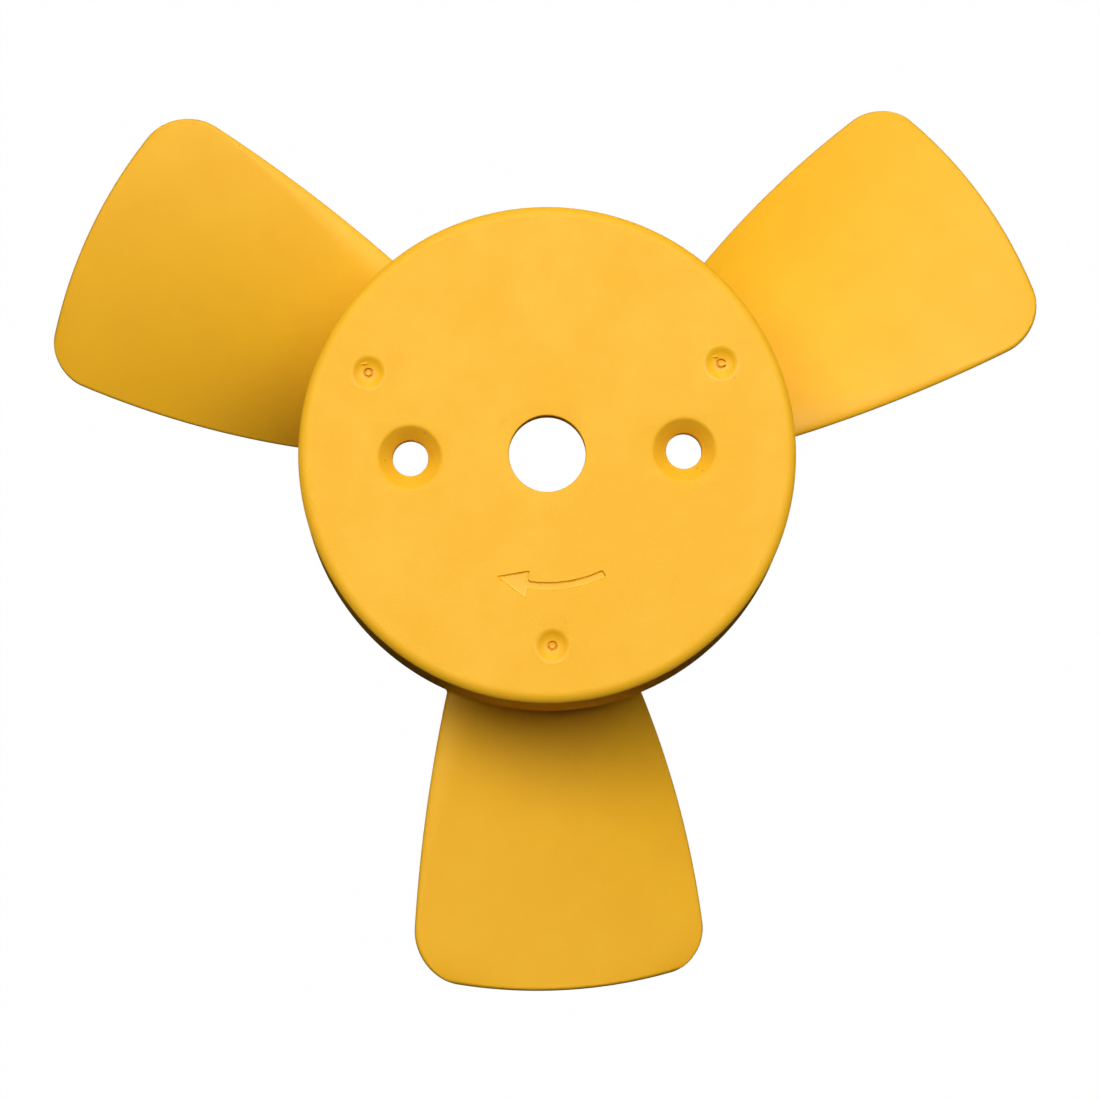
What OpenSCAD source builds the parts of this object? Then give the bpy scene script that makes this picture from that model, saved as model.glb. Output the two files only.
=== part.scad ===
// Three-blade screw propeller with a cup-shaped hub, in moulded yellow plastic.
//
// Z is the axis of rotation and the face of the hub looks towards +Z. Z = 0 is the plane inside
// the cup where the hub seats on the rotor that drives it. Seen from the face the propeller turns
// clockwise, so each blade's leading edge is its clockwise edge, and it stands nearer the face.

/* [Hub] */
// Diameter of the hub at its face
hub_d = 78; // [66:0.5:90]
// Thickness of the face plate
face_t = 3; // [2.5:0.25:4]
// Rounding of the rim between the face and the skirt
rim_r = 1.6; // [1:0.1:2.2]
// Wall of the skirt, where it meets the face plate
skirt_t = 3; // [2:0.25:4]
// Distance from the face back to the mould's parting line, where the skirt is widest
parting_set = 23; // [12:0.5:30]
// Draft of the skirt's outside, which narrows both ways from the parting line, in degrees
skirt_draft = 2; // [0.5:0.1:2.5]
// Draft of the inside of the cup, which opens towards its rear rim, in degrees
core_draft = 0.5; // [0.2:0.1:1]
// Chamfer outside the skirt's rear rim
rear_chamfer = 0.6; // [0.2:0.1:1]
// Lead-in chamfer inside the skirt's rear rim
lead_in = 1.2; // [0.4:0.1:1.6]

/* [Shaft bore and screw holes] */
// Diameter of the bore for the shaft
bore_d = 12; // [8:0.1:16]
// Chamfer at the front of the bore
bore_chamfer = 0.2; // [0.1:0.1:0.8]
// Clearance diameter of the screw holes
screw_d = 5.5; // [4:0.1:6]
// Diameter of the countersinks at the face
screw_head_d = 9.8; // [8.5:0.1:11]
// Distance between the two screw holes
screw_spacing = 43; // [38:0.5:48]

/* [Inside of the cup] */
// Height of the collar, bosses and ribs on the inside of the face plate
seat_h = 2; // [1:0.25:4]
// Diameter of the collar round the bore
collar_d = 20; // [18:0.5:22]
// Diameter of the bosses round the screw holes
boss_d = 12; // [9:0.5:14]
// Number of stiffening ribs
rib_count = 12; // [6:2:16]
// Thickness of the ribs
rib_t = 1.8; // [1:0.1:2.4]

/* [Gate marks] */
// Distance of the upper two gate marks from the axis
gate_set = 30.8; // [29:0.1:31.5]
// Distance of the lower gate mark from the axis
gate_low_set = 30.1; // [29:0.1:31.5]
// Diameter of the dish round each gate mark
gate_dish_d = 4.9; // [3:0.1:6]
// Depth of the dish
gate_dish_h = 0.7; // [0.3:0.05:1]
// Diameter of the stub of sprue left in the dish
gate_stub_d = 1.4; // [0.8:0.1:2]
// Height of the stub
gate_stub_h = 0.4; // [0.2:0.05:0.6]

/* [Blades] */
// Diameter of the circle that the blade tips run on
tip_d = 171.2; // [150:0.2:200]
// Pitch: the advance of the blade's screw surface in one turn
pitch = 163; // [120:1:220]
// Distance from the face back to the leading edge at the hub
lead_set = 21; // [12:0.1:40]
// Distance from the trailing edge at the hub back to the rear rim
trail_set = 4; // [3.5:0.1:20]
// Width from the blade's centre line to the leading edge, round the hub
lead_root_w = 17.3; // [10:0.1:19]
// Width from the blade's centre line to the leading edge, round the tip
lead_tip_w = 24.3; // [18:0.1:32]
// Outward bow of the leading edge
lead_bow = 1.1; // [0:0.1:3]
// Rounding of the corner between leading edge and tip
lead_corner_r = 7.5; // [4:0.25:12]
// Width from the blade's centre line to the trailing edge, round the hub
trail_root_w = 15; // [10:0.1:19]
// Width from the blade's centre line to the trailing edge, round the tip
trail_tip_w = 24.9; // [18:0.1:32]
// Outward bow of the trailing edge
trail_bow = 1.8; // [0:0.1:3]
// Rounding of the corner between trailing edge and tip
trail_corner_r = 6.25; // [4:0.25:12]
// Greatest thickness of the blade at the hub
root_t = 3.6; // [2.5:0.1:5]
// Greatest thickness of the blade at the tip
tip_t = 2.2; // [1.6:0.1:3]
// Thickness of the blade's rounded edges
edge_t = 1.2; // [0.8:0.1:1.6]
// Camber: how far the middle of a section stands towards the face
camber = 1.2; // [0:0.1:2.5]
// Fillet between blade and skirt
root_fillet = 0.6; // [0.3:0.1:1.5]

/* [Hidden] */

$fn = 96;
cut = 1;                    // how far a cutting shape runs past the surface that it cuts
face_colour = "#FBC33F";
skirt_colour = "#F0B233";
inside_colour = "#E3A62C";
blade_colour = "#F3B733";

blade_turns = [30, 150, 270];
gates = [[26, gate_set], [154, gate_set], [270, gate_low_set]];   // direction and distance
screw_sides = [-1, 1];

hub_r = hub_d / 2;
collar_r = collar_d / 2;
tip_r = tip_d / 2;
edge_r = edge_t / 2;

face_z = seat_h + face_t;   // front of the face plate
plate_z = seat_h;           // inside of the face plate
rim_z = face_z - rim_r;     // where the rim's rounding runs into the skirt
parting_z = face_z - parting_set;

advance = pitch / 360;                                  // rise of the screw surface for each degree
root_rise = pitch / (2 * PI * hub_r);                   // slope of the blade where it meets the hub
blade_z = face_z - lead_set - lead_root_w * root_rise;  // the blade's centre line
rear_z = blade_z - trail_root_w * root_rise - trail_set;

parting_r = hub_r + (rim_z - parting_z) * tan(skirt_draft);
function skirt_r(z) = parting_r - abs(z - parting_z) * tan(skirt_draft);
function cup_r(z) = skirt_r(plate_z) - skirt_t + (plate_z - z) * tan(core_draft);
function mix(a, b, t) = a + (b - a) * t;

// The hub

module hub_face() {
    color(face_colour) {
        difference() {
            rotate_extrude() face_profile();
            translate([0, 0, plate_z - cut]) cylinder(d = bore_d, h = face_t + 2 * cut);
            bore_front_chamfer();
            for (side = screw_sides) translate([side * screw_spacing / 2, 0, 0]) countersunk_hole();
            for (gate = gates) at_gate(gate) gate_dish();
        }
        for (gate = gates) at_gate(gate) gate_stub();
    }
}

// Half section of the face plate: a disc whose front corner is rounded
module face_profile() {
    polygon([[0, plate_z], [skirt_r(plate_z), plate_z], [hub_r, rim_z], [0, rim_z]]);
    translate([0, rim_z]) square([hub_r - rim_r, rim_r]);
    intersection() {
        translate([hub_r - rim_r, rim_z]) circle(rim_r);
        translate([hub_r - rim_r, rim_z]) square(rim_r);
    }
}

module bore_front_chamfer() {
    translate([0, 0, face_z - bore_chamfer])
        cylinder(d1 = bore_d, d2 = bore_d + 4 * bore_chamfer, h = 2 * bore_chamfer);
}

// Screw hole with a 90 degree countersink, so the cone is as deep as it is wide on each side
module countersunk_hole() {
    sink_h = (screw_head_d - screw_d) / 2;
    translate([0, 0, plate_z - cut]) cylinder(d = screw_d, h = face_t + 2 * cut);
    translate([0, 0, face_z - sink_h])
        cylinder(d1 = screw_d, d2 = screw_head_d + 2 * sink_h, h = 2 * sink_h);
}

module at_gate(gate) {
    rotate(gate[0]) translate([gate[1], 0, face_z]) children();
}

// Shallow spherical dish
module gate_dish() {
    dish_r = (pow(gate_dish_d / 2, 2) + pow(gate_dish_h, 2)) / (2 * gate_dish_h);
    translate([0, 0, dish_r - gate_dish_h]) sphere(dish_r);
}

// The stub reaches a little into the plate under the dish
module gate_stub() {
    stub_foot = gate_dish_h / 2;
    translate([0, 0, -gate_dish_h - stub_foot])
        cylinder(d = gate_stub_d, h = gate_stub_h + stub_foot);
}

module hub_skirt() {
    color(skirt_colour) rotate_extrude() polygon([
        [cup_r(plate_z), plate_z],
        [skirt_r(plate_z), plate_z],
        [parting_r, parting_z],
        [skirt_r(rear_z + rear_chamfer), rear_z + rear_chamfer],
        [skirt_r(rear_z) - rear_chamfer, rear_z],
        [cup_r(rear_z) + lead_in, rear_z],
        [cup_r(rear_z + lead_in), rear_z + lead_in]
    ]);
}

// The inside of the cup: a collar, two bosses and ribs, all ending in the seat plane

module shaft_collar() {
    color(inside_colour) difference() {
        cylinder(d = collar_d, h = seat_h);
        translate([0, 0, -cut]) cylinder(d = bore_d, h = seat_h + 2 * cut);
    }
}

module screw_bosses() {
    color(inside_colour) for (side = screw_sides) translate([side * screw_spacing / 2, 0, 0])
        difference() {
            cylinder(d = boss_d, h = seat_h);
            translate([0, 0, -cut]) cylinder(d = screw_d, h = seat_h + 2 * cut);
        }
}

module stiffening_ribs() {
    color(inside_colour) difference() {
        intersection() {
            for (i = [0 : rib_count - 1]) rotate(i * 360 / rib_count)
                translate([collar_r - cut, -rib_t / 2, 0]) cube([hub_r, rib_t, seat_h]);
            cylinder(r1 = cup_r(0), r2 = cup_r(plate_z), h = seat_h);
        }
        translate([0, 0, -cut]) cylinder(d = collar_d, h = seat_h + 2 * cut);
        for (side = screw_sides) translate([side * screw_spacing / 2, 0, -cut])
            cylinder(d = boss_d, h = seat_h + 2 * cut);
    }
}

// A blade is lofted through sections that lie on cylinders about the axis. On such a cylinder a
// point has an arc width w, positive from the leading towards the trailing edge, and a height z.

root_sink = 1;                                          // how far the loft starts inside the skirt
corner_r = max(lead_corner_r, trail_corner_r);
fillet_steps = 7;
span_steps = 9;
corner_steps = 9;
edge_steps = 4;
chord_steps = 10;
blunt = 0.3;                                            // share of the thickness left at the very tip

// Radius of the skirt where it meets the part of the blade that is w from its centre line
function foot_r(w) = skirt_r(blade_z - w * root_rise);
foot_low = min(foot_r(-lead_root_w), foot_r(trail_root_w));
foot_top = parting_r + root_fillet;

function step_back(i, n) = 1 - cos(90 * i / n);         // fine steps first
function step_up(i, n) = sin(90 * i / n);               // fine steps last

// Radii of the sections, close together in the root fillet and round the tip's corners
stations = concat(
    [foot_low - root_sink],
    [for (i = [0 : fillet_steps]) mix(foot_low, foot_top, step_back(i, fillet_steps))],
    [for (i = [1 : span_steps]) mix(foot_top, tip_r - corner_r, i / span_steps)],
    [for (i = [1 : corner_steps]) tip_r - corner_r * (1 - step_up(i, corner_steps))]
);

// Share of the way from the hub to the tip
function span(r) = (r - hub_r) / (tip_r - hub_r);

// How far the fillet thickens the blade at radius r and arc width w
function flare(r, w) = let (up = min(max(r - foot_r(w), 0), root_fillet))
    root_fillet - sqrt(pow(root_fillet, 2) - pow(root_fillet - up, 2));

// How far a rounded corner draws an edge in
function corner_in(r, radius) = let (up = max(r - (tip_r - radius), 0))
    radius - sqrt(max(pow(radius, 2) - pow(up, 2), 0));

// Arc width from the centre line to an edge
function edge_w(r, root_w, tip_w, bow, radius) = let (t = span(r))
    mix(root_w, tip_w, t) + 4 * bow * t * (1 - t) - corner_in(r, radius);
function lead_w(r) = edge_w(r, lead_root_w, lead_tip_w, lead_bow, lead_corner_r);
function trail_w(r) = edge_w(r, trail_root_w, trail_tip_w, trail_bow, trail_corner_r);

// The tip is rounded over, from full thickness down to its blunt end
function tip_share(r) = let (up = max(r - (tip_r - edge_r), 0) / edge_r)
    max(sqrt(max(1 - pow(up, 2), 0)), blunt);

// Half a section at radius r, from nose to tail: each point is its arc width and half thickness
function half_section(r) = let (
    lead = lead_w(r),
    trail = trail_w(r),
    crown = mix(root_t, tip_t, span(r)) / 2,
    nose_r = edge_r + flare(r, -lead),
    tail_r = edge_r + flare(r, trail),
    share = tip_share(r)
) concat(
    [for (i = [0 : edge_steps]) let (a = 90 * i / edge_steps)
        [edge_r - lead - nose_r * cos(a), share * nose_r * sin(a)]],
    [for (i = [1 : chord_steps - 1]) let (
        t = i / chord_steps,
        w = mix(edge_r - lead, trail - edge_r, t)
    ) [w, share * (crown - (crown - edge_r) * pow(2 * t - 1, 2) + flare(r, w))]],
    [for (i = [edge_steps : -1 : 0]) let (a = 90 * i / edge_steps)
        [trail - edge_r + tail_r * cos(a), share * tail_r * sin(a)]]
);

// The point at radius r that is w along the screw surface and off away from it, towards the face
function blade_point(r, w, off) = let (
    slope = atan(pitch / (2 * PI * r)),
    turn = (w + off * sin(slope)) / r * 180 / PI,
    z = blade_z - w / r * 180 / PI * advance + off * cos(slope)
) [r * cos(turn), r * sin(turn), z];

// Rise of the camber line at arc width w
function camber_at(r, w) = let (t = (w + lead_w(r)) / (lead_w(r) + trail_w(r)))
    camber * max(4 * t * (1 - t), 0);

// One section as a closed ring: over the front from nose to tail, and back along the rear
function section(r) = let (
    half = half_section(r),
    last = len(half) - 1
) concat(
    [for (i = [0 : last]) blade_point(r, half[i][0], camber_at(r, half[i][0]) + half[i][1])],
    [for (i = [last - 1 : -1 : 1]) blade_point(r, half[i][0], camber_at(r, half[i][0]) - half[i][1])]
);

ring_n = 2 * (chord_steps + 2 * edge_steps);            // points in one ring
ring_half = ring_n / 2;                                 // the ring's point at the trailing edge

// Triangles that close the ring that starts at point a, between its front and its rear side
function cap_faces(a, flip) = [
    for (i = [0 : ring_half - 1]) let (
        front = [a + i, a + i + 1],
        rear = [a + (ring_n - i) % ring_n, a + ring_n - i - 1]
    ) each [
        if (front[0] != rear[0]) flip ? [front[0], rear[0], rear[1]] : [front[0], rear[1], rear[0]],
        if (front[1] != rear[1]) flip ? [front[0], rear[1], front[1]] : [front[0], front[1], rear[1]]
    ]
];

blade_points = [for (r = stations) each section(r)];
blade_faces = concat(
    [for (j = [0 : len(stations) - 2]) for (i = [0 : ring_n - 1]) let (
        a = j * ring_n + i,
        b = j * ring_n + (i + 1) % ring_n
    ) each [[a, b + ring_n, b], [a, a + ring_n, b + ring_n]]],
    cap_faces(0, true),
    cap_faces((len(stations) - 1) * ring_n, false)
);

// The blade's root is cut to the outside of the skirt, on which it sits
module blade(turn) {
    color(blade_colour) difference() {
        rotate(turn) polyhedron(blade_points, blade_faces, convexity = 4);
        rotate_extrude() polygon([
            [0, rear_z], [skirt_r(rear_z), rear_z], [parting_r, parting_z],
            [skirt_r(plate_z), plate_z], [0, plate_z]
        ]);
    }
}

hub_face();
hub_skirt();
shaft_collar();
screw_bosses();
stiffening_ribs();
blade(blade_turns[0]);  // blade_1
blade(blade_turns[1]);  // blade_2
blade(blade_turns[2]);  // blade_3
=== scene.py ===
import bpy
import math
from mathutils import Matrix, Vector


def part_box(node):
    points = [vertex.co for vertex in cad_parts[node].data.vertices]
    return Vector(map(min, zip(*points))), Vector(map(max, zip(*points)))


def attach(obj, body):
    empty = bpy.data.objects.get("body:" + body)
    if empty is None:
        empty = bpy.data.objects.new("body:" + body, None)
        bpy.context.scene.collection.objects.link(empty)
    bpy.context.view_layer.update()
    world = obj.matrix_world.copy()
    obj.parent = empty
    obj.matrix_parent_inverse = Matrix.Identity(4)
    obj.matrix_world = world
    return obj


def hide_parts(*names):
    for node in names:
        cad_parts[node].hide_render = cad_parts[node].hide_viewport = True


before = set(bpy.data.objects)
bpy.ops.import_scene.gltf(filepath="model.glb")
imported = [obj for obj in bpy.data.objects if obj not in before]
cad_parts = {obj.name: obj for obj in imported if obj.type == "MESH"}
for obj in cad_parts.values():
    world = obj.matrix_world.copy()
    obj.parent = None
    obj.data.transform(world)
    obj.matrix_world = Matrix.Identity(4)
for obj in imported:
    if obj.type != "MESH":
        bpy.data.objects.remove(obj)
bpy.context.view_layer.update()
mm = 0.001
weld = 0.002                     # mm; points closer than this are one
past = 1.0                       # mm that a cutter reaches past what it cuts

faceLow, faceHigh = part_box("hub_face")
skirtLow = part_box("hub_skirt")[0]
faceZ = faceHigh.z / mm          # front of the hub
plateZ = faceLow.z / mm          # inside of the face plate
rearZ = skirtLow.z / mm          # rear rim, on which the part stands
print("frame loaded, face at", round(faceZ, 2), "mm, rear rim at", round(rearZ, 2), "mm")


def deselectAll():
    if bpy.context.object and bpy.context.object.mode != "OBJECT":
        bpy.ops.object.mode_set(mode="OBJECT")
    bpy.ops.object.select_all(action="DESELECT")


def pick(obj):
    deselectAll()
    obj.select_set(True)
    bpy.context.view_layer.objects.active = obj


def joined(name, pieces):
    pick(pieces[0])
    for piece in pieces[1:]:
        piece.select_set(True)
    bpy.ops.object.join()
    bpy.context.object.name = name
    return bpy.context.object


def editEdges(obj, isWanted):
    # into edit mode, with only the wanted edges selected
    bpy.ops.object.mode_set(mode="EDIT")
    bpy.ops.mesh.select_mode(type="EDGE")
    bpy.ops.mesh.select_all(action="DESELECT")
    bpy.ops.object.mode_set(mode="OBJECT")
    for edge in obj.data.edges:
        edge.select = isWanted(*(obj.data.vertices[i].co for i in edge.vertices))
    bpy.ops.object.mode_set(mode="EDIT")


def extrude(rise=0.0):
    bpy.ops.mesh.extrude_region_move(TRANSFORM_OT_translate={"value": (0, 0, rise * mm)})


def swing(degrees):
    # about the axis; with no window, rotate turns clockwise
    bpy.ops.transform.rotate(
        value=math.radians(degrees), orient_axis="Z", center_override=(0, 0, 0))


def cleanUp(obj, angle=30):
    # doubles merged, faces turned outwards, and smooth shading that keeps the real corners
    pick(obj)
    bpy.ops.object.mode_set(mode="EDIT")
    bpy.ops.mesh.select_all(action="SELECT")
    bpy.ops.mesh.remove_doubles(threshold=weld * mm)
    bpy.ops.mesh.normals_make_consistent(inside=False)
    bpy.ops.object.mode_set(mode="OBJECT")
    bpy.ops.object.shade_smooth_by_angle(angle=math.radians(angle))


def arc(cx, cz, radius, start, end, steps):
    # points of a fillet in a turned profile, angles in degrees
    angles = [math.radians(start + (end - start) * i / steps) for i in range(steps + 1)]
    return [(cx + radius * math.cos(a), cz + radius * math.sin(a)) for a in angles]


def turned(name, profile, sides, closed):
    # a ring drawn out from point to point of the profile, like clay on a wheel; sizes in mm
    deselectAll()
    startR, startZ = profile[0]
    bpy.ops.mesh.primitive_circle_add(
        vertices=sides, radius=startR * mm, location=(0, 0, startZ * mm))
    obj = bpy.context.object
    obj.name = name
    bpy.ops.object.transform_apply(location=True, rotation=True, scale=True)
    bpy.ops.object.mode_set(mode="EDIT")
    bpy.ops.mesh.select_all(action="SELECT")
    if not closed:
        bpy.ops.mesh.edge_face_add()
    path = profile + profile[:1] if closed else profile
    for (rA, zA), (rB, zB) in zip(path, path[1:]):
        extrude(zB - zA)
        bpy.ops.transform.resize(value=(rB / rA, rB / rA, 1))
    cleanUp(obj)
    return obj


def cutWith(obj, cutter):
    pick(obj)
    bpy.ops.object.modifier_add(type="BOOLEAN")
    cut = obj.modifiers[-1]
    cut.operation = "DIFFERENCE"
    cut.solver = "EXACT"
    cut.object = cutter
    bpy.ops.object.modifier_apply(modifier=cut.name)
    bpy.data.objects.remove(cutter)


def putAt(obj, place):
    # move a finished mesh, and leave its object at the origin
    obj.data.transform(place)
    obj.data.update()


# the cup: face plate and skirt, turned in one piece as they are moulded
cup = {
    "rimR": 39.05,
    "rimRound": 2.05, "rimTurn": math.radians(55),   # a wide round over the front
    "rimEdge": 0.3,          # and a small edge where it meets the skirt
    "rimDeep": 1.6,          # from the face to where rimR is measured
    "wall": 3.0,
    "parting": 23.0,         # behind the face, where the two halves of the mould met
    "partingHalf": 0.15,     # half the width of the parting line
    "draft": math.tan(math.radians(2.4)),
    "coreDraft": math.tan(math.radians(0.5)),
    "pinDraft": 0.02,        # the bore and the screw holes widen a little to the rear
    "rearRound": 0.6,
    "leadIn": 1.2,
    "insideRound": 1.0,
    "boreR": 6.0, "boreRound": 0.25,
    "sides": 192, "rimSteps": 10, "edgeSteps": 4, "roundSteps": 5,
    # rings between the corners: radii on the flats, heights on the walls
    "frontRings": (9, 14, 19, 24, 29, 33), "lastRing": 0.1,   # the last is so far inside the round
    "upperRings": (0, -6, -12), "lowerRings": (-24, -30, -36),
    "coreRings": (-30, -20, -10),
    "plateRings": (30, 24, 18, 12),
    "smooth": 25,
}
partingZ = faceZ - cup["parting"]


def outsideR(z):
    return cup["rimR"] + (cup["parting"] - cup["rimDeep"] - abs(z - partingZ)) * cup["draft"]


def insideR(z):
    return outsideR(plateZ) - cup["wall"] + (plateZ - z) * cup["coreDraft"]


def cupProfile():
    rear, fillet, edge = cup["rearRound"], cup["insideRound"], cup["boreRound"]
    rim, corner, turn = cup["rimRound"], cup["rimEdge"], cup["rimTurn"]
    steps = cup["roundSteps"]
    edgeR = cup["rimR"] - corner
    edgeZ = faceZ - rim + (rim - corner) * math.cos(turn)
    startR = edgeR - (rim - corner) * math.sin(turn)
    turnEnd = 90 - math.degrees(turn)
    front = arc(cup["boreR"] + edge, faceZ - edge, edge, 180, 90, steps)
    front += [(r, faceZ) for r in (*cup["frontRings"], startR - cup["lastRing"])]
    front += arc(startR, faceZ - rim, rim, 90, turnEnd, cup["rimSteps"])
    front += arc(edgeR, edgeZ, corner, turnEnd, 0, cup["edgeSteps"])[1:]
    partingRings = (partingZ + cup["partingHalf"], partingZ - cup["partingHalf"])
    heights = (*cup["upperRings"], *partingRings, *cup["lowerRings"])
    side = [(outsideR(z), z) for z in heights]
    leadZ = rearZ + cup["leadIn"]
    back = arc(outsideR(rearZ) - rear, rearZ + rear, rear, 0, -90, steps)
    back += [(insideR(rearZ) + cup["leadIn"], rearZ), (insideR(leadZ), leadZ)]
    back += [(insideR(z), z) for z in cup["coreRings"]]
    back += arc(insideR(plateZ - fillet) - fillet, plateZ - fillet, fillet, 0, 90, steps)
    boreEnd = cup["boreR"] + (faceZ - plateZ) * cup["pinDraft"]
    back += [(r, plateZ) for r in (*cup["plateRings"], boreEnd)]
    return front + side + back


# the countersunk holes, with softened edges as the tool leaves them
screwHole = {
    "apart": 43.0,
    "holeR": 2.8, "headR": 5.0,
    "neckBelow": 0.12, "neckStep": 0.04, "neckAbove": 0.14,   # where the cone meets the hole
    "coneAngle": 45, "lipRound": 0.8, "lipEnd": 92,           # the lip ends almost level
    "clear": 0.1, "over": 0.02,      # how far the cutter goes on beside and above the lip
    "sides": 96, "lipSteps": 7,
}
sinkZ = faceZ - (screwHole["headR"] - screwHole["holeR"])     # where the cone ends


def screwPlace(side):
    return Matrix.Translation((side * screwHole["apart"] / 2 * mm, 0, 0))


def screwCutter(side):
    hole, lip = screwHole["holeR"], screwHole["lipRound"]
    cone, above = screwHole["coneAngle"], screwHole["neckAbove"]
    lipR = screwHole["headR"] + lip * math.tan(math.radians(cone / 2))
    outerR = lipR + screwHole["clear"]
    plateR = hole + (sinkZ - plateZ) * cup["pinDraft"]
    profile = [(plateR, plateZ - past), (plateR, plateZ), (hole, sinkZ - screwHole["neckBelow"])]
    profile += [(hole + screwHole["neckStep"], sinkZ), (hole + above, sinkZ + above)]
    profile += arc(lipR, faceZ - lip, lip, 90 + cone, screwHole["lipEnd"], screwHole["lipSteps"])
    profile += [(outerR, faceZ + screwHole["over"]), (outerR, faceZ + past)]
    cutter = turned("screwCutter", profile, screwHole["sides"], False)
    putAt(cutter, screwPlace(side))
    return cutter


# the gate marks: a shallow dish, and in its middle a well for the stub where the sprue broke off
gate = {
    "places": {26.0: 30.8, 154.0: 30.8, 270.0: 30.1},   # direction: distance from the axis
    "dishR": 2.45, "dishDeep": 0.95, "dishRings": 8,
    "lip": 0.9, "lipRings": 7,
    "lipOver": 0.004,        # the lip runs out just above the face
    "clear": 0.05,           # how far the cutter goes on beside the lip
    "wellR": 0.8, "wellDeep": 0.6,
    "floorIn": 0.1, "wallIn": 0.03, "wallUp": 0.04,     # the well narrows to its floor
    "sides": 72,
}


def gatePlace(angle):
    turn, away = math.radians(angle), gate["places"][angle]
    return Matrix.Translation((away * math.cos(turn) * mm, away * math.sin(turn) * mm, 0))


def dishZ(r):
    edgeR, deep = gate["dishR"], gate["dishDeep"]
    ballR = (edgeR * edgeR + deep * deep) / (2 * deep)
    return faceZ - deep + ballR - math.sqrt(ballR * ballR - r * r)


def dishCutter(angle):
    lip, wellR = gate["lip"], gate["wellR"]
    wellZ = dishZ(0) - gate["wellDeep"]
    lastR = gate["dishR"] - lip / 2
    lastZ = dishZ(lastR)
    profile = [(wellR - gate["floorIn"], wellZ), (wellR - gate["wallIn"], wellZ + gate["wallUp"])]
    for i in range(gate["dishRings"] + 1):
        r = wellR + (lastR - wellR) * i / gate["dishRings"]
        profile.append((r, dishZ(r)))
    for i in range(1, gate["lipRings"] + 1):
        t = i / gate["lipRings"]
        rise = (faceZ + gate["lipOver"] - lastZ) * (1 - (1 - t) ** 2)
        profile.append((lastR + lip * t, lastZ + rise))
    profile.append((lastR + lip + gate["clear"], faceZ + past))
    cutter = turned("dishCutter", profile, gate["sides"], False)
    putAt(cutter, gatePlace(angle))
    return cutter


# direction of rotation: an engraved arrow on the lower half of the face, which points the way
# that the propeller turns
arrow = {
    "setR": 20.8,                                # of the arc that it follows
    "middle": -90.0,                             # degrees, straight down
    "tail": 24.0, "neck": -10.0, "tip": -24.0,   # degrees from the middle
    "half": 0.65, "headHalf": 2.3,
    "deep": 0.4, "above": 0.4,                   # mm below and above the face
    "steps": 24,
    "bottomRound": 0.9, "roundSteps": 4,         # share of the depth
    "sharp": 60,                                 # degrees; a corner sharper than this is rounded
    "smooth": 20,
}


def arrowCutter():
    deselectAll()
    bpy.ops.mesh.primitive_plane_add(size=1)
    obj = bpy.context.object
    obj.name = "arrowCutter"
    # the plane starts as the first step of the shaft, across the arc that it follows
    step = (arrow["tail"] - arrow["neck"]) / arrow["steps"]
    tailTurn = arrow["middle"] + arrow["tail"]
    for vert in obj.data.vertices:
        r = arrow["setR"] + 2 * arrow["half"] * vert.co.y
        a = math.radians(tailTurn - step * (0.5 - vert.co.x))
        vert.co = Vector((r * math.cos(a), r * math.sin(a), faceZ + arrow["above"])) * mm
    firstHalf = math.radians(tailTurn - step / 2)
    editEdges(obj, lambda *ends: all(math.atan2(end.y, end.x) < firstHalf for end in ends))
    for i in range(arrow["steps"] - 1):
        extrude()
        swing(step)
    # the head: widened across the arc, then drawn to a point
    grow = arrow["headHalf"] / arrow["half"]
    extrude()
    bpy.ops.transform.resize(value=(grow, grow, 1))
    extrude()
    swing(arrow["neck"] - arrow["tip"])
    bpy.ops.mesh.merge(type="CENTER")
    bpy.ops.mesh.select_all(action="SELECT")
    bpy.ops.mesh.remove_doubles(threshold=weld * mm)
    extrude(-(arrow["deep"] + arrow["above"]))
    bpy.ops.object.mode_set(mode="OBJECT")
    cleanUp(obj, arrow["smooth"])
    # a round-bottomed groove
    bpy.ops.object.modifier_add(type="BEVEL")
    groove = obj.modifiers[-1]
    groove.width = arrow["deep"] * arrow["bottomRound"] * mm
    groove.segments = arrow["roundSteps"]
    groove.limit_method = "ANGLE"
    groove.angle_limit = math.radians(arrow["sharp"])
    bpy.ops.object.modifier_apply(modifier=groove.name)
    cleanUp(obj, arrow["smooth"])
    return obj


hubShell = turned("hubShell", cupProfile(), cup["sides"], True)
for side in (-1, 1):
    cutWith(hubShell, screwCutter(side))
for angle in gate["places"]:
    cutWith(hubShell, dishCutter(angle))
cutWith(hubShell, arrowCutter())
cleanUp(hubShell, cup["smooth"])
print("hub shell turned and cut")


# stub of sprue: broken off with a hollow top; two have a torn tail and a sliver of flash
stub = {
    "footR": 0.46, "topR": 0.38, "high": 0.22,
    "sunk": 0.1,                             # below the floor of the well
    "waistIn": 0.03, "waistUp": 0.12,        # from the foot
    "brow": 0.06, "crestIn": 0.04,           # round the broken edge
    "hollow": 0.08, "slopeIn": 0.14, "hollowR": 0.2, "poleR": 0.03,
    "lobes": 3, "wobble": 0.07,              # it isn't quite round
    "sides": 28, "smooth": 50,
    # gate direction: heading of the tail in degrees, and how long it is drawn
    "tails": {26.0: (-5, 1.3), 154.0: (120, 0.2), 270.0: (0, 0.0)},
    "tailStart": 0.2, "tailDraw": 2.2, "tailPinch": 0.6, "pinchOver": 0.3,
    # gate direction: place in the dish, turn in degrees, and half the length
    "slivers": {26.0: (-0.95, 1.1, -8, 0.5), 154.0: (-0.7, 1.45, 6, 0.6)},
    "sliverHalf": 0.17, "sliverHigh": 0.2, "sliverLift": 0.06,
    "sliverSides": 20, "sliverRings": 12,
}


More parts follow.
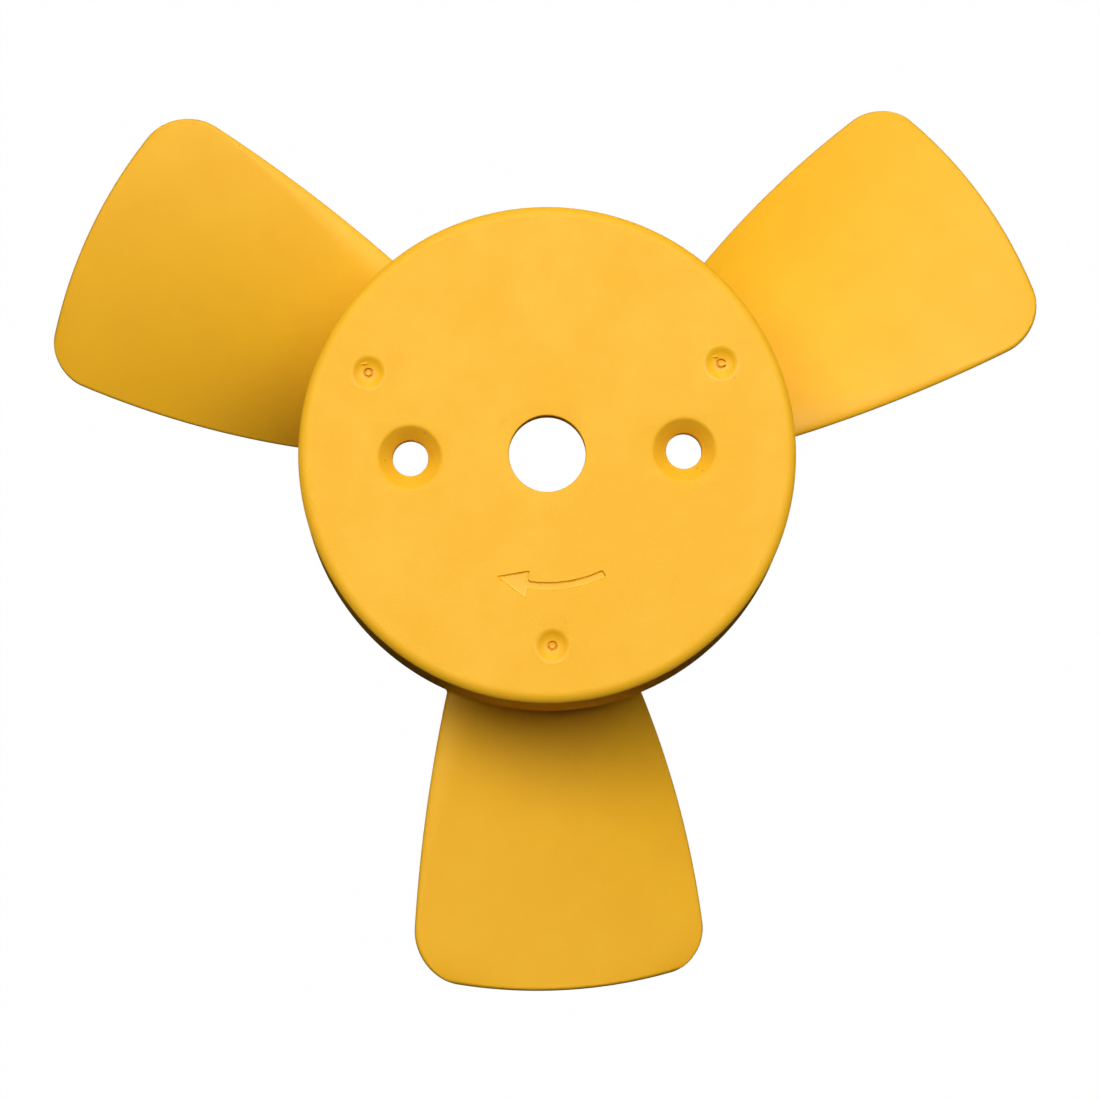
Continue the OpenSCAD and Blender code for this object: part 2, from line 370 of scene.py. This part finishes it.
def drawTail(obj, angle):
    heading, length = stub["tails"][angle]
    way = Vector((math.cos(math.radians(heading)), math.sin(math.radians(heading)), 0))
    for vert in obj.data.vertices:
        flat = Vector((vert.co.x, vert.co.y, 0)) / mm
        ahead = flat.dot(way)
        drawn = max(ahead - stub["tailStart"], 0) * length
        pinch = 1 - stub["tailPinch"] * min(drawn / stub["pinchOver"], 1)
        moved = way * (ahead + drawn * stub["tailDraw"]) + (flat - way * ahead) * pinch
        lobe = math.sin(stub["lobes"] * math.atan2(flat.y, flat.x) + angle)
        vert.co.xy = moved.xy * (1 + stub["wobble"] * lobe) * mm


def flashSliver(angle):
    x, y, turn, half = stub["slivers"][angle]
    deselectAll()
    bpy.ops.mesh.primitive_uv_sphere_add(
        segments=stub["sliverSides"], ring_count=stub["sliverRings"], radius=mm)
    obj = bpy.context.object
    spot = Vector((x, y, dishZ(math.hypot(x, y)) + stub["sliverLift"])) * mm
    size = Matrix.Diagonal((half, stub["sliverHalf"], stub["sliverHigh"], 1))
    putAt(obj, Matrix.Translation(spot) @ Matrix.Rotation(math.radians(turn), 4, "Z") @ size)
    return obj


def gateStub(name, angle):
    footZ = faceZ - gate["dishDeep"]
    topZ = footZ + stub["high"]
    hollowZ = topZ - stub["hollow"]
    lowR, topR, brow = stub["footR"], stub["topR"], stub["brow"]
    profile = [(lowR, footZ - gate["wellDeep"] - stub["sunk"]), (lowR, footZ)]
    profile += [(lowR - stub["waistIn"], footZ + stub["waistUp"]), (topR + brow, topZ - brow)]
    profile += [(topR - stub["crestIn"], topZ), (topR - stub["slopeIn"], (topZ + hollowZ) / 2)]
    profile += [(stub["hollowR"], hollowZ), (stub["poleR"], hollowZ)]
    obj = turned(name, profile, stub["sides"], False)
    drawTail(obj, angle)
    if angle in stub["slivers"]:
        obj = joined(name, [obj, flashSliver(angle)])
    putAt(obj, gatePlace(angle))
    cleanUp(obj, stub["smooth"])
    return obj


stubs = [gateStub("gateStub" + str(i + 1), angle) for i, angle in enumerate(gate["places"])]
print("gate stubs done")


# inside of the cup: collar, bosses and ribs, all ending in the seat plane at Z = 0
web = {
    "collarR": 10.0, "collarSides": 96,
    "bossR": 6.0, "bossSides": 72,
    "inset": 0.1,            # collar and bosses are this much slimmer, because their feet flare
    "ribs": 12, "ribThick": 1.8,
    "ribBite": 0.4,          # how far a rib reaches into the collar or a boss
    "wallBite": 0.2,         # and into the wall
    "edge": 0.35, "foot": 0.5, "roundSteps": 4,
}


def tubeProfile(outer, inner, startZ):
    edge, foot, steps = web["edge"], web["foot"], web["roundSteps"]
    plateR, rearR = (inner + (startZ - z) * cup["pinDraft"] for z in (plateZ, 0))
    profile = [(plateR, plateZ), (rearR, edge / 2), (rearR + edge / 2, 0), (outer - edge, 0)]
    profile += arc(outer - edge, edge, edge, -90, 0, steps)
    profile += arc(outer + foot, plateZ - foot, foot, 180, 90, steps)
    return profile


collarProfile = tubeProfile(web["collarR"] - web["inset"], cup["boreR"], faceZ)
collarRing = turned("collarRing", collarProfile, web["collarSides"], True)

bossProfile = tubeProfile(web["bossR"] - web["inset"], screwHole["holeR"], sinkZ)
bossRings = []
for side in (-1, 1):
    ring = turned("bossRing", bossProfile, web["bossSides"], True)
    putAt(ring, screwPlace(side))
    bossRings.append(ring)
bossPair = joined("bossPair", bossRings)


def isFreeEdge(a, b):
    # one of the long edges in the seat plane
    return max(a.z, b.z) < weld * mm and abs(a.y - b.y) < weld * mm


def rib(turn, start, end):
    # a block from the plate to the seat plane, with its free edges rounded
    deselectAll()
    bpy.ops.mesh.primitive_cube_add(size=1, location=((start + end) / 2 * mm, 0, plateZ / 2 * mm))
    obj = bpy.context.object
    obj.scale = ((end - start) * mm, web["ribThick"] * mm, plateZ * mm)
    bpy.ops.object.transform_apply(location=True, rotation=True, scale=True)
    editEdges(obj, isFreeEdge)
    bpy.ops.mesh.bevel(offset=web["edge"] * mm, segments=web["roundSteps"], affect="EDGES")
    bpy.ops.object.mode_set(mode="OBJECT")
    putAt(obj, Matrix.Rotation(math.radians(turn), 4, "Z"))
    return obj


ribStart, ribEnd = web["collarR"] - web["ribBite"], insideR(0) + web["wallBite"]
bossX, bossHalf = screwHole["apart"] / 2, web["bossR"] - web["ribBite"]
ribPieces = []
for i in range(web["ribs"]):
    turn = 360 / web["ribs"] * i
    if turn % 180:
        ribPieces.append(rib(turn, ribStart, ribEnd))
    else:
        # a boss stands in this one's way
        ribPieces.append(rib(turn, ribStart, bossX - bossHalf))
        ribPieces.append(rib(turn, bossX + bossHalf, ribEnd))
ribStar = joined("ribStar", ribPieces)
cleanUp(ribStar)
print("collar, bosses and ribs done")


# a blade: a sheet wrapped round sections that lie on cylinders about the axis
blade = {
    "hubR": 39.0, "tipR": 85.58,
    "pitch": 163.0,
    "leadSet": 21.0,         # the root of the lead edge, behind the face
    # widths before and behind the middle line, with a bow between and a round corner at the tip
    "leadRoot": 17.3, "leadTip": 24.28, "leadBow": 1.1, "leadCorner": 7.52,
    "trailRoot": 15.0, "trailTip": 24.88, "trailBow": 1.8, "trailCorner": 6.27,
    "rootThick": 3.6, "tipThick": 2.2, "edgeThick": 1.2,
    "noseThick": 3.3, "noseReach": 36.0, "noseLean": 4.0,   # the lead edge is thick near the hub
    "rootCamber": 2.0, "tipCamber": 1.2,
    "fillet": 0.6,
    "sunk": 0.8,             # how far the root reaches into the hub's wall
    "rootClose": 0.3,        # length over which it closes there
    "around": 132, "along": 90, "smooth": 60,
    "edgeRun": 0.15,         # share of the mesh that goes round each edge
    "sunkRun": 0.02, "filletRun": 0.25, "spanRun": 0.6,     # and up to where each of these ends
}
rootSlope = blade["pitch"] / (2 * math.pi * blade["hubR"])
bladeZ = faceZ - blade["leadSet"] - blade["leadRoot"] * rootSlope


def footR(wide):
    return outsideR(bladeZ - wide * rootSlope)


footLow = min(footR(-blade["leadRoot"]), footR(blade["trailRoot"]))
footTop = outsideR(partingZ) + blade["fillet"]


def spanShare(r):
    return (r - blade["hubR"]) / (blade["tipR"] - blade["hubR"])


def alongSpan(name, r):
    # a size that goes evenly from its value at the root to that at the tip
    root, tip = blade["root" + name], blade["tip" + name]
    return root + (tip - root) * spanShare(r)


def flare(r, wide):
    up = min(max(r - footR(wide), 0), blade["fillet"])
    return blade["fillet"] - math.sqrt(blade["fillet"] ** 2 - (blade["fillet"] - up) ** 2)


def edgeWide(r, side):
    t = spanShare(r)
    corner = blade[side + "Corner"]
    up = min(max(r - (blade["tipR"] - corner), 0), corner)
    drawnIn = corner - math.sqrt(corner ** 2 - up ** 2)
    straight = blade[side + "Root"] + (blade[side + "Tip"] - blade[side + "Root"]) * t
    return straight + 4 * blade[side + "Bow"] * t * (1 - t) - drawnIn


def noseHalf(r):
    inward = min(max(1 - (r - blade["hubR"]) / blade["noseReach"], 0), 1)
    return (blade["edgeThick"] + (blade["noseThick"] - blade["edgeThick"]) * inward) / 2


def stationR(v):
    # fine steps in the root fillet and round the tip's corners
    sunk, fillet, span = blade["sunkRun"], blade["filletRun"], blade["spanRun"]
    corner = max(blade["leadCorner"], blade["trailCorner"])
    outer = blade["tipR"] - corner
    if v < sunk:
        return footLow - blade["sunk"] * (1 - v / sunk)
    if v < fillet:
        t = (v - sunk) / (fillet - sunk)
        return footLow + (footTop - footLow) * (1 - math.cos(math.pi / 2 * t))
    if v < span:
        return footTop + (outer - footTop) * (v - fillet) / (span - fillet)
    return outer + corner * math.sin(math.pi / 2 * (v - span) / (1 - span))


def sectionPoint(u, r):
    # u runs from the nose over the front to the tail, and back along the rear
    lead, trail = edgeWide(r, "lead"), edgeWide(r, "trail")
    side = 1 if u < 0.5 else -1
    run = 2 * u if u < 0.5 else 2 - 2 * u
    edgeRun = blade["edgeRun"]
    edge, nose, crown = blade["edgeThick"] / 2, noseHalf(r), alongSpan("Thick", r) / 2
    noseLong = edge + (nose - edge) * blade["noseLean"]
    if run < edgeRun:
        out, a = flare(r, -lead), math.pi / 2 * run / edgeRun
        wide = noseLong - lead - (noseLong + out) * math.cos(a)
        half = (nose + out) * math.sin(a)
    elif run > 1 - edgeRun:
        tail, a = edge + flare(r, trail), math.pi / 2 * (1 - run) / edgeRun
        wide = trail - edge + tail * math.cos(a)
        half = tail * math.sin(a)
    else:
        t = (run - edgeRun) / (1 - 2 * edgeRun)
        wide = noseLong - lead + (lead + trail - noseLong - edge) * t
        thin = nose if t < 0.5 else edge
        half = crown - (crown - thin) * (2 * t - 1) ** 2 + flare(r, wide)
    # front and rear close at the tip, and at the root inside the hub's wall
    over = min(max(r - (blade["tipR"] - edge), 0) / edge, 1)
    under = min(max(r - footLow + blade["sunk"], 0) / blade["rootClose"], 1)
    half *= math.sqrt(1 - over ** 2) * under
    share = (wide + lead) / (lead + trail)
    off = alongSpan("Camber", r) * max(4 * share * (1 - share), 0) + side * half
    slope = math.atan(blade["pitch"] / (2 * math.pi * r))
    turn = (wide + off * math.sin(slope)) / r
    z = bladeZ - wide / r * blade["pitch"] / (2 * math.pi) + off * math.cos(slope)
    return Vector((r * math.cos(turn), r * math.sin(turn), z)) * mm


def makeBlade(name, turn):
    deselectAll()
    bpy.ops.mesh.primitive_grid_add(
        x_subdivisions=blade["around"], y_subdivisions=blade["along"], size=2)
    obj = bpy.context.object
    obj.name = name
    for vert in obj.data.vertices:
        u, v = (vert.co.x + 1) / 2, (vert.co.y + 1) / 2
        vert.co = sectionPoint(min(max(u, 0), 1), stationR(min(max(v, 0), 1)))
    putAt(obj, Matrix.Rotation(math.radians(turn), 4, "Z"))
    cleanUp(obj, blade["smooth"])
    return obj


bladeNames = {
    "blade_1": ("bladeRight", 30),
    "blade_2": ("bladeLeft", 150),
    "blade_3": ("bladeBottom", 270),
}
blades = {node: makeBlade(name, turn) for node, (name, turn) in bladeNames.items()}
print("blades done")


def linear(hexColour):
    channels = [int(hexColour[i:i + 2], 16) / 255 for i in (1, 3, 5)]
    return [c / 12.92 if c <= 0.04045 else ((c + 0.055) / 1.055) ** 2.4 for c in channels] + [1.0]


def addNode(tree, kind, sockets=None, **settings):
    # settings are the node's own; a socket gets a value, or a link from another node's socket
    node = tree.nodes.new(kind)
    for name, value in settings.items():
        setattr(node, name, value)
    for socket, value in (sockets or {}).items():
        if isinstance(value, bpy.types.NodeSocket):
            tree.links.new(value, node.inputs[socket])
        else:
            node.inputs[socket].default_value = value
    return node


# glass-filled nylon, injection moulded and coloured through: an even, satin yellow with the faint
# cloudiness of the flow, a fine eroded grain from the mould, and a few specks
plastic = {
    "yellow": "#F4B61E",
    "deepYellow": "#F2B21C",
    "speck": "#8A5A12",
    "cloud": 9.0,         # mm across one cloud of the flow
    "cloudDetail": 4.0, "cloudRough": 0.6,
    "toneFrom": 0.35, "toneTo": 0.65,        # the clouds go from yellow to deep yellow
    "glossFrom": 0.3, "glossTo": 0.7, "glossSpread": 0.05,
    "grain": 0.35,        # mm; the real grain is about 0.1, too fine to show here
    "grainDetail": 3.0, "grainRough": 0.55, "grainStrength": 0.6,
    "speckR": 0.15,       # mm
    "speckSoft": 0.3, "speckShare": 0.5,     # softness of its edge, strength of its colour
    "ior": 1.53, "shine": 0.33,
    # roughness, depth of the grain in mm, and mm from speck to speck
    "finishes": {
        "mouldedNylonGrained": (0.6, 0.06, 9.0),
        "mouldedNylonSmooth": (0.55, 0.03, 9.0),
        "mouldedNylonPolished": (0.42, 0.0, 9.0),
        # for the countersinks: rougher, with dark specks crowded close that darken them a little,
        # painted shade of the recess
        "mouldedNylonPaintedShade": (0.65, 0.08, 2.2),
    },
}
colourA, colourB, colourOut = 6, 7, 2        # a Mix node's sockets for colour


def mouldedNylon(name):
    roughness, grainDepth, speckApart = plastic["finishes"][name]
    material = bpy.data.materials.new(name)
    material.use_nodes = True
    tree = material.node_tree
    shader = tree.nodes["Principled BSDF"]
    place = addNode(tree, "ShaderNodeTexCoord").outputs["Object"]
    cloud = addNode(tree, "ShaderNodeTexNoise", {
        "Vector": place, "Scale": 1 / (plastic["cloud"] * mm),
        "Detail": plastic["cloudDetail"], "Roughness": plastic["cloudRough"]})
    tone = addNode(tree, "ShaderNodeMapRange", {
        "Value": cloud.outputs["Fac"],
        "From Min": plastic["toneFrom"], "From Max": plastic["toneTo"]})
    flow = addNode(tree, "ShaderNodeMix", {
        "Factor": tone.outputs["Result"], colourA: linear(plastic["yellow"]),
        colourB: linear(plastic["deepYellow"])}, data_type="RGBA")
    dots = addNode(tree, "ShaderNodeTexVoronoi", {
        "Vector": place, "Scale": 1 / (speckApart * mm), "Randomness": 1.0})
    isDot = addNode(tree, "ShaderNodeMapRange", {
        "Value": dots.outputs["Distance"],
        "From Min": plastic["speckR"] * (1 - plastic["speckSoft"]) / speckApart,
        "From Max": plastic["speckR"] * (1 + plastic["speckSoft"]) / speckApart,
        "To Min": plastic["speckShare"], "To Max": 0.0})
    speckled = addNode(tree, "ShaderNodeMix", {
        "Factor": isDot.outputs["Result"], colourA: flow.outputs[colourOut],
        colourB: linear(plastic["speck"])}, data_type="RGBA")
    tree.links.new(speckled.outputs[colourOut], shader.inputs["Base Color"])
    grain = addNode(tree, "ShaderNodeTexNoise", {
        "Vector": place, "Scale": 1 / (plastic["grain"] * mm),
        "Detail": plastic["grainDetail"], "Roughness": plastic["grainRough"]})
    gloss = addNode(tree, "ShaderNodeMapRange", {
        "Value": cloud.outputs["Fac"],
        "From Min": plastic["glossFrom"], "From Max": plastic["glossTo"],
        "To Min": roughness - plastic["glossSpread"], "To Max": roughness + plastic["glossSpread"]})
    tree.links.new(gloss.outputs["Result"], shader.inputs["Roughness"])
    bump = addNode(tree, "ShaderNodeBump", {
        "Height": grain.outputs["Fac"], "Strength": plastic["grainStrength"],
        "Distance": grainDepth * mm})
    tree.links.new(bump.outputs["Normal"], shader.inputs["Normal"])
    shader.inputs["IOR"].default_value = plastic["ior"]
    shader.inputs["Specular IOR Level"].default_value = plastic["shine"]
    return material


grainedYellow, smoothYellow, polishedYellow, paintedShadeYellow = map(mouldedNylon, plastic["finishes"])


def finishPiece(obj, material, *nodes):
    obj.data.materials.clear()
    obj.data.materials.append(material)
    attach(obj, "root")
    if nodes:
        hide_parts(*nodes)


# how the faces that the cutters left are told from the rest of the hub
cutFaces = {
    "flat": 0.9999, "level": 0.01,   # normal and mm; such a face is the front itself
    "abovePlate": 0.05,
    "margin": 1.0,                   # round the bore, the countersinks and the dishes
    "arrowWithin": 25.0,             # of the axis
    "polished": 1, "paintedShade": 2,       # places of the materials on the hub
}


def finishCuts(obj):
    # polished steel formed the gate dishes and the arrow; the countersinks get a rougher finish
    # with dark specks crowded close, painted shade in their recesses
    obj.data.materials.append(polishedYellow)
    obj.data.materials.append(paintedShadeYellow)
    margin = cutFaces["margin"]
    dishes = [gatePlace(angle).to_translation().xy / mm for angle in gate["places"]]
    sinks = [screwPlace(side).to_translation().xy / mm for side in (-1, 1)]
    for face in obj.data.polygons:
        spot = face.center / mm
        isFront = face.normal.z > cutFaces["flat"] and spot.z > faceZ - cutFaces["level"]
        isBehind = spot.z < plateZ + cutFaces["abovePlate"]
        if isFront or isBehind or spot.xy.length < cup["boreR"] + margin:
            continue
        if any((spot.xy - mid).length < screwHole["headR"] + margin for mid in sinks):
            # painted shade: the countersinks darkened a little by crowded dark specks
            face.material_index = cutFaces["paintedShade"]
        elif (spot.xy.length < cutFaces["arrowWithin"]
              or any((spot.xy - mid).length < gate["dishR"] + margin for mid in dishes)):
            face.material_index = cutFaces["polished"]


finishPiece(hubShell, grainedYellow, "hub_face", "hub_skirt")
finishCuts(hubShell)
for piece in stubs:
    finishPiece(piece, polishedYellow)
finishPiece(collarRing, grainedYellow, "shaft_collar")
finishPiece(bossPair, grainedYellow, "screw_bosses")
finishPiece(ribStar, grainedYellow, "stiffening_ribs")
for node, piece in blades.items():
    finishPiece(piece, smoothYellow, node)
print("materials on")


# floor and light
studio = {
    "white": "#FFFFFF",
    "floorSize": 6.0,
    "floorBounce": "#101010",    # what the floor throws back on the part
    "floorSeen": 0.996,          # share of plain white that the camera sees of it
    "skyStrength": 0.025,
    "lampAway": 1.5,
    # direction, power and size of the soft boxes, all on the upper side of the photo
    "lamps": {
        "upperLeft": ((-0.33, 0.33, 1.0), 13.2, 1.0),
        "upperRight": ((0.33, 0.33, 1.0), 14.6, 1.0),
        "lowTop": ((0.0, 2.14, 1.0), 3.0, 0.5),
    },
}

deselectAll()
bpy.ops.mesh.primitive_plane_add(size=studio["floorSize"], location=(0, 0, rearZ * mm))
floor = bpy.context.object
floor.name = "floor"
paper = bpy.data.materials.new("whitePaper")
paper.use_nodes = True
tree = paper.node_tree
tree.nodes.clear()
path = addNode(tree, "ShaderNodeLightPath")
share = addNode(tree, "ShaderNodeMath", {
    0: path.outputs["Is Camera Ray"], 1: studio["floorSeen"]}, operation="MULTIPLY")
matt = addNode(tree, "ShaderNodeBsdfDiffuse", {"Color": linear(studio["floorBounce"])})
white = addNode(tree, "ShaderNodeEmission", {"Color": linear(studio["white"]), "Strength": 1.0})
mixed = addNode(tree, "ShaderNodeMixShader", {
    0: share.outputs[0], 1: matt.outputs[0], 2: white.outputs[0]})
addNode(tree, "ShaderNodeOutputMaterial", {"Surface": mixed.outputs[0]})
floor.data.materials.append(paper)

world = bpy.data.worlds.new("studioSky")
bpy.context.scene.world = world
world.use_nodes = True
tree = world.node_tree
sky = tree.nodes["Background"]
sky.inputs["Color"].default_value = linear(studio["white"])
# plain white to the camera beyond the floor, and a weak sky for the part
path = addNode(tree, "ShaderNodeLightPath")
seen = addNode(tree, "ShaderNodeMapRange", {
    "Value": path.outputs["Is Camera Ray"], "To Min": studio["skyStrength"], "To Max": 1.0})
tree.links.new(seen.outputs["Result"], sky.inputs["Strength"])

for name, (way, power, size) in studio["lamps"].items():
    lamp = bpy.data.lights.new(name, "AREA")
    lamp.shape = "DISK"
    lamp.size = size
    lamp.energy = power
    lampObj = bpy.data.objects.new(name, lamp)
    bpy.context.scene.collection.objects.link(lampObj)
    lampObj.location = Vector(way).normalized() * studio["lampAway"]
    lampObj.rotation_euler = (-lampObj.location).to_track_quat("-Z", "Y").to_euler()

# camera: 550 mm in front of the face and a little below its middle, as the photo was taken
view = {
    "from": (-2.98, -48.41, 550.0), "aim": (0.43, -15.13, 0.0),   # mm from the middle of the face
    "roll": 1.564,
    "focal": 3526.0, "frame": 1100.0,                             # pixels
    "sensor": 36.0, "clip": 0.01,
}

unroll = Matrix.Rotation(math.radians(-view["roll"]), 4, "Z")
eye = unroll @ Vector(view["from"]) + Vector((0, 0, faceZ))
aim = unroll @ Vector(view["aim"]) + Vector((0, 0, faceZ))
upWay = unroll @ Vector((0, 1, 0))
camera = bpy.data.cameras.new("camera")
camera.sensor_width = view["sensor"]
camera.lens = view["focal"] / view["frame"] * view["sensor"]
camera.clip_start = view["clip"]
cameraObj = bpy.data.objects.new("camera", camera)
bpy.context.scene.collection.objects.link(cameraObj)
back = (eye - aim).normalized()
right = upWay.cross(back).normalized()
up = back.cross(right)
turnTo = Matrix((right, up, back)).transposed().to_4x4()
cameraObj.matrix_world = Matrix.Translation(eye * mm) @ turnTo
bpy.context.scene.camera = cameraObj
bpy.context.scene.view_settings.view_transform = "Standard"
print("floor, light and camera set")

bpy.context.view_layer.update()
